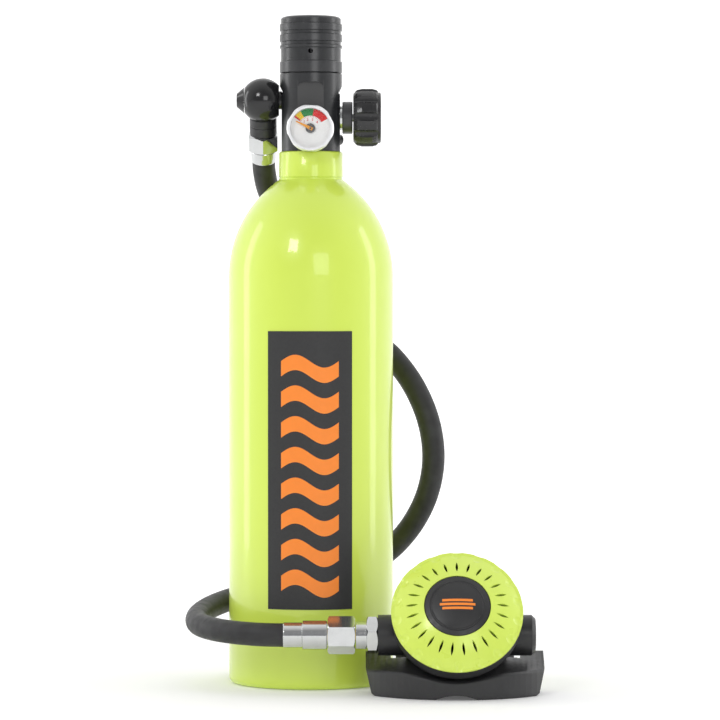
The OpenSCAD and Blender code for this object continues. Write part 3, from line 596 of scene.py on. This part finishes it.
def make_world():
    """White all round, with a darker part behind the camera for the metal to mirror."""
    world = bpy.data.worlds.new("studio")
    world.use_nodes = True
    tree = world.node_tree
    background = tree.nodes["Background"]
    place = tree.nodes.new("ShaderNodeTexCoord")
    split = tree.nodes.new("ShaderNodeSeparateXYZ")
    shade = tree.nodes.new("ShaderNodeValToRGB")
    remap = tree.nodes.new("ShaderNodeMapRange")
    tree.links.new(place.outputs["Generated"], split.inputs["Vector"])
    tree.links.new(split.outputs["Y"], remap.inputs["Value"])
    remap.inputs["From Min"].default_value = -1
    remap.inputs["From Max"].default_value = 1
    tree.links.new(remap.outputs["Result"], shade.inputs["Fac"])
    ramp = shade.color_ramp
    ramp.elements[0].position = 0.0
    ramp.elements[0].color = (0.30, 0.30, 0.31, 1)
    ramp.elements[1].position = 1.0
    ramp.elements[1].color = (1, 1, 1, 1)
    for position, level in ((0.12, 0.32), (0.3, 0.75), (0.45, 0.95), (0.6, 1.0)):
        stop = ramp.elements.new(position)
        stop.color = (level, level, level, 1)
    tree.links.new(shade.outputs["Color"], background.inputs["Color"])
    background.inputs["Strength"].default_value = 1.0
    bpy.context.scene.world = world
    bpy.context.scene.view_settings.view_transform = "Standard"


def make_light():
    make_world()
    centre = (0.02, 0, 0.15)
    area_light("key", (-0.55, -1.1, 0.9), centre, (0.3, 0.3), 3.4)
    area_light("front_fill", (0.35, -1.3, 0.5), centre, (0.5, 0.5), 2.2)
    area_light("rim_left", (-0.9, 0.15, 0.35), centre, (0.2, 0.9), 1.6)
    area_light("rim_right", (0.95, 0.1, 0.35), centre, (0.2, 0.9), 1.6)


make_stage()
make_light()


# ---- bottle ----

STRAIGHT = 205 * MM  # height of the straight wall
SHOULDER = 60 * MM  # radius of the shoulder's arc
NECK = 16.05 * MM
NECK_BORE = 11.2 * MM
BASE_ROUND = 3 * MM
BOTTLE_SIDES = 256


def make_bottle():
    """The bottle's shell, turned smoothly over the CAD solid's outline."""
    radius = BOTTLE_RADIUS
    top = high_of("cylinder").z
    centre = radius - SHOULDER
    end = math.degrees(math.acos((NECK - centre) / SHOULDER))
    neck_base = STRAIGHT + SHOULDER * math.sin(math.radians(end))
    groove = [(NECK - depth * MM, neck_base + up * MM)
              for depth, up in ((0, 0.6), (0.3, 0.8), (0.3, 1.1), (0, 1.3))]
    profile = [(0.5 * MM, 0), (radius - 2 * BASE_ROUND, 0)]
    profile += arc(radius - BASE_ROUND, BASE_ROUND, BASE_ROUND, -90, 0, 8)
    profile += [(radius, 2 * BASE_ROUND), (radius, STRAIGHT / 2)]
    profile += arc(centre, STRAIGHT, SHOULDER, 0, end, 40) + groove
    profile += [(NECK, top - 0.8 * MM), (NECK - 0.6 * MM, top - 0.1 * MM), (NECK_BORE, top)]
    rings = [[on_circle(r, k, BOTTLE_SIDES, height) for k in range(BOTTLE_SIDES)]
             for r, height in profile]
    bottle = new_object("bottle_shell", lambda bm: skin_rings(bm, rings), LIME, 50)
    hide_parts("cylinder")
    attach(bottle, "bottle")


make_bottle()


# ---- label ----

LABEL_WIDTH = 29 * MM
WAVES = 8
FIRST_WAVE = 13 * MM  # above the label's foot
WAVE_PITCH = 15.2 * MM
WAVE_THICK = 7.6 * MM
WAVE_RISE = 3.2 * MM
WAVE_STEPS = 32
PRINT_FROM, PRINT_TO = 0.26 * MM, 0.32 * MM  # the print's thickness, out from the bottle


def on_bottle(across, height, out):
    """A point that far round the front of the bottle, at that height."""
    radius = BOTTLE_RADIUS + out
    angle = across / BOTTLE_RADIUS
    return Vector((radius * math.sin(angle), -radius * math.cos(angle), height))


def sheet_rings(bm, rows):
    """A thin closed sheet on the label, from rows of (across, height)."""
    front = [[bm.verts.new(on_bottle(a, h, PRINT_TO)) for a, h in row] for row in rows]
    back = [[bm.verts.new(on_bottle(a, h, PRINT_FROM)) for a, h in row] for row in rows]
    for grid in (front, back):
        for one, two in zip(grid, grid[1:]):
            for i in range(len(one) - 1):
                bm.faces.new((one[i], one[i + 1], two[i + 1], two[i]))
    edge = [(0, i) for i in range(len(rows[0]))]
    edge += [(j, len(rows[0]) - 1) for j in range(1, len(rows))]
    edge += [(len(rows) - 1, i) for i in range(len(rows[0]) - 2, -1, -1)]
    edge += [(j, 0) for j in range(len(rows) - 2, 0, -1)]
    for (j, i), (m, n) in zip(edge, edge[1:] + edge[:1]):
        bm.faces.new((front[j][i], front[m][n], back[m][n], back[j][i]))


def wave_band(bm, height):
    """One band of the label's mark: a slow wave from side to side."""
    rows = []
    for side in (-0.5, 0.5):
        row = []
        for k in range(WAVE_STEPS + 1):
            share = k / WAVE_STEPS
            rise = WAVE_RISE * math.sin(2 * math.pi * share)
            row.append(((share - 0.5) * LABEL_WIDTH, height + rise + side * WAVE_THICK))
        rows.append(row)
    sheet_rings(bm, rows)


def make_label():
    """A plain mark of waves in place of any lettering."""
    low = low_of("tank_label").z

    def make(bm):
        for k in range(WAVES):
            wave_band(bm, low + FIRST_WAVE + k * WAVE_PITCH)

    mark = new_object("label_mark", make, ORANGE, 60)
    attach(mark, "bottle")


make_label()


# ---- button mark ----

BAR_HALF = 8.6 * MM  # half the middle bar's length
BAR_SHORTER = 1.2 * MM  # how much the other two give up at each end
BAR_PITCH = 2.1 * MM
BAR_HALF_HIGH = 0.65 * MM
BAR_THICK = 0.08 * MM


def make_button_mark():
    """Three short plain bars in place of any lettering."""
    place = stage_matrix()

    def bar(bm, half, middle_up):
        low, high = middle_up - BAR_HALF_HIGH, middle_up + BAR_HALF_HIGH
        section = ((low, 0), (low, BAR_THICK), (high, BAR_THICK), (high, 0))
        rows = []
        for share in range(9):
            x = half * (share / 4 - 1)
            rows.append([place @ Vector((x, y, on_button(x, y - RIM_UP) + lift))
                         for y, lift in section])
        skin_rings(bm, rows)

    def make(bm):
        for k in (-1, 0, 1):
            bar(bm, BAR_HALF - abs(k) * BAR_SHORTER, RIM_UP + k * BAR_PITCH)

    mark = new_object("button_mark", make, ORANGE, 60)
    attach(mark, "purge")


make_button_mark()


# ---- gauge face ----

DIAL_ARCS = [  # clockwise from the top, in degrees
    (-55.5, -49.5, DIAL_RED), (-49.5, -30.3, DIAL_YELLOW),
    (-30.3, 10.1, DIAL_GREEN), (10.1, 61.0, DIAL_RED),
]
DIAL_NUMBERS = [("1", -44), ("2", -18), ("3", 13), ("4", 48)]
BAND_INNER, BAND_OUTER = 6.3 * MM, 9.8 * MM
TICK_INNER, TICK_OUTER = 5.6 * MM, 6.25 * MM
TICK_HALF = 0.9  # degrees
TICK_PITCH = 8.0  # degrees
NUMBER_RADIUS = 4.5 * MM
NUMBER_SIZE = 2.1 * MM
INK_FROM, BAND_INK, TICK_INK = 0.02 * MM, 0.08 * MM, 0.07 * MM  # heights above the dial


def on_dial(radius, clockwise, out):
    """A point on the dial, with the angle in degrees from the top, that far in front of it."""
    angle = math.radians(clockwise)
    centre = middle("dial_plate")
    return Vector((centre.x + radius * math.sin(angle), low_of("dial_plate").y - out,
                   centre.z + radius * math.cos(angle)))


def make_dial():
    """The coloured bands, plain ticks and four figures."""
    for number, (start, end, look) in enumerate(DIAL_ARCS):
        def make(bm, start=start, end=end):
            steps = max(2, int((end - start) / 2))
            rings = []
            for k in range(steps + 1):
                at = start + (end - start) * k / steps
                rings.append([on_dial(BAND_INNER, at, INK_FROM), on_dial(BAND_OUTER, at, INK_FROM),
                              on_dial(BAND_OUTER, at, BAND_INK), on_dial(BAND_INNER, at, BAND_INK)])
            skin_rings(bm, rings)
        band = new_object(f"dial_band_{number}", make, look, 30)
        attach(band, "bottle")

    def make_ticks(bm):
        for k in range(-7, 8):
            left, right = k * TICK_PITCH - TICK_HALF, k * TICK_PITCH + TICK_HALF
            rings = []
            for r in (TICK_INNER, TICK_OUTER):
                rings.append([on_dial(r, left, INK_FROM), on_dial(r, right, INK_FROM),
                              on_dial(r, right, TICK_INK), on_dial(r, left, TICK_INK)])
            skin_rings(bm, rings)

    ticks = new_object("dial_ticks", make_ticks, DIAL_RED, 30)
    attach(ticks, "bottle")
    for text, at in DIAL_NUMBERS:
        data = bpy.data.curves.new(f"dial_number_{text}", "FONT")
        data.body = text
        data.size = NUMBER_SIZE
        data.align_x = "CENTER"
        data.align_y = "CENTER"
        data.extrude = 0.03 * MM
        data.materials.append(DIAL_RED)
        figure = bpy.data.objects.new(f"dial_number_{text}", data)
        bpy.context.collection.objects.link(figure)
        figure.location = on_dial(NUMBER_RADIUS, at, 0.1 * MM)
        figure.rotation_euler = (math.radians(90), 0, 0)
        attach(figure, "bottle")


make_dial()


# ---- springs ----

def upright(node):
    """Turns Z into the bottle's +Z, from the foot of the node's box."""
    foot = middle(node)
    foot.z = low_of(node).z
    return Matrix.Translation(foot)


def lying(node):
    """Turns Z into +Y, from the front of the node's box."""
    foot = middle(node)
    foot.y = low_of(node).y
    return Matrix.Translation(foot) @ Matrix.Rotation(math.radians(-90), 4, "X")


COIL_STEPS = 36  # in one turn


def make_spring(node, place, radius, height, wire, turns, body):
    """A coil along place's Z; radius and height are those of the spring, wire is half its wire."""
    steps = turns * COIL_STEPS
    line = [place @ on_circle(radius, k, COIL_STEPS, wire + (height - 2 * wire) * k / steps)
            for k in range(steps + 1)]
    side = (line[0] - place.translation).normalized()
    rings = tube_rings(line, wire, 12, side)
    spring = new_object(f"{node}_coil", lambda bm: skin_rings(bm, rings), STEEL, 60)
    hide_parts(node)
    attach(spring, body)
    return spring


def make_springs():
    """Coils in place of the CAD springs; three of them get meshes of their own."""
    place = upright("piston_spring")
    high = high_of("piston_spring").z - low_of("piston_spring").z
    coil = make_spring("piston_spring", place, 8 * MM, high, 0.8 * MM, 4, "bottle")
    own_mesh(coil)

    place = lying("check_spring")
    long = high_of("check_spring").y - low_of("check_spring").y
    coil = make_spring("check_spring", place, 1.3 * MM, long, 0.22 * MM, 4, "bottle")
    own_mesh(coil)

    along_barrel = Matrix.Rotation(math.radians(90), 4, "Y")
    place = stage_matrix() @ Matrix.Translation((6.1 * MM, 0, 0)) @ along_barrel
    long = 24.6 * MM
    coil = make_spring("poppet_spring", place, 2.6 * MM, long, 0.5 * MM, 6, "second_stage")
    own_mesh(coil)

    # the purge spring's two ends move alike, so it rides on the button
    place = stage_matrix() @ Matrix.Translation((0, RIM_UP, RIM_OUT - 3.3 * MM))
    make_spring("purge_spring", place, 7 * MM, 9.8 * MM, 0.6 * MM, 3, "purge")


make_springs()


# ---- mouthpiece ----

# each row: height along the stage's Z, half-width of the straight part and half-thickness, in mm
MOUTH_SLICES = [
    (-15.2, 11.0, 8.2), (-15.35, 11.0, 7.75), (-18.25, 11.0, 7.75), (-18.4, 11.0, 8.2),
    (-21.0, 11.0, 8.3), (-24.0, 11.2, 8.1), (-25.0, 12.5, 8.6), (-25.5, 16.5, 9.6),
    (-26.4, 18.6, 10.3), (-27.4, 19.0, 10.5), (-28.2, 18.6, 10.2), (-28.6, 15.5, 8.6),
    (-29.0, 10.8, 6.9), (-30.4, 10.0, 6.5),
]
BORE_SLICES = [
    (-30.5, 9.6, 5.3), (-30.0, 9.6, 5.0), (-23.4, 9.8, 5.0), (-23.2, 11.0, 6.5),
    (-15.2, 11.0, 6.55),
]
TAB_SLICES = [  # height, half-width and half-depth of a bite tab
    (-28.0, 1.3, 4.6), (-33.0, 1.4, 4.9), (-35.6, 2.0, 5.2), (-36.3, 4.2, 5.8),
    (-37.2, 4.5, 6.0), (-38.2, 3.9, 5.4),
]
TAB_APART = 17.2  # from the middle to each tab
TAB_SPREAD = 0.1  # how far a wider slice of a tab moves outwards


def oval_ring(place, height, half, thick, steps=24):
    """A flattened ring round the stage's Z: two half circles and the straights between."""
    ring = []
    for side, first in ((1, -90), (-1, 90)):
        for k in range(steps + 1):
            angle = math.radians(first + 180 * k / steps)
            ring.append(place @ Vector((side * half + thick * math.cos(angle),
                                        RIM_UP / MM + thick * math.sin(angle), height)))
    return ring


def make_mouthpiece():
    """Soft silicone mouthpiece: lip flange, neck, bore and two bite tabs."""
    place = stage_matrix() @ Matrix.Scale(MM, 4)

    def make(bm):
        skin_rings(bm, [oval_ring(place, *row) for row in MOUTH_SLICES + BORE_SLICES], loop=True)
        for side in (-1, 1):
            rows = []
            for height, half_x, half_y in TAB_SLICES:
                middle_x = side * (TAB_APART + TAB_SPREAD * (half_x - TAB_SLICES[0][1]))
                rows.append([
                    place @ Vector((middle_x + half_x * c, RIM_UP / MM + half_y * d, height))
                    for c, d in rounded_square(8)
                ])
            skin_rings(bm, rows)

    mouthpiece = new_object("mouthpiece_soft", make, SILICONE, 50)
    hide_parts("mouthpiece")
    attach(mouthpiece, "second_stage")


def rounded_square(steps):
    """Points round a unit square with softly rounded corners."""
    points = []
    for k in range(4 * steps):
        angle = 2 * math.pi * k / (4 * steps)
        c, d = math.cos(angle), math.sin(angle)
        points.append((math.copysign(abs(c) ** 0.45, c), math.copysign(abs(d) ** 0.45, d)))
    return points


make_mouthpiece()
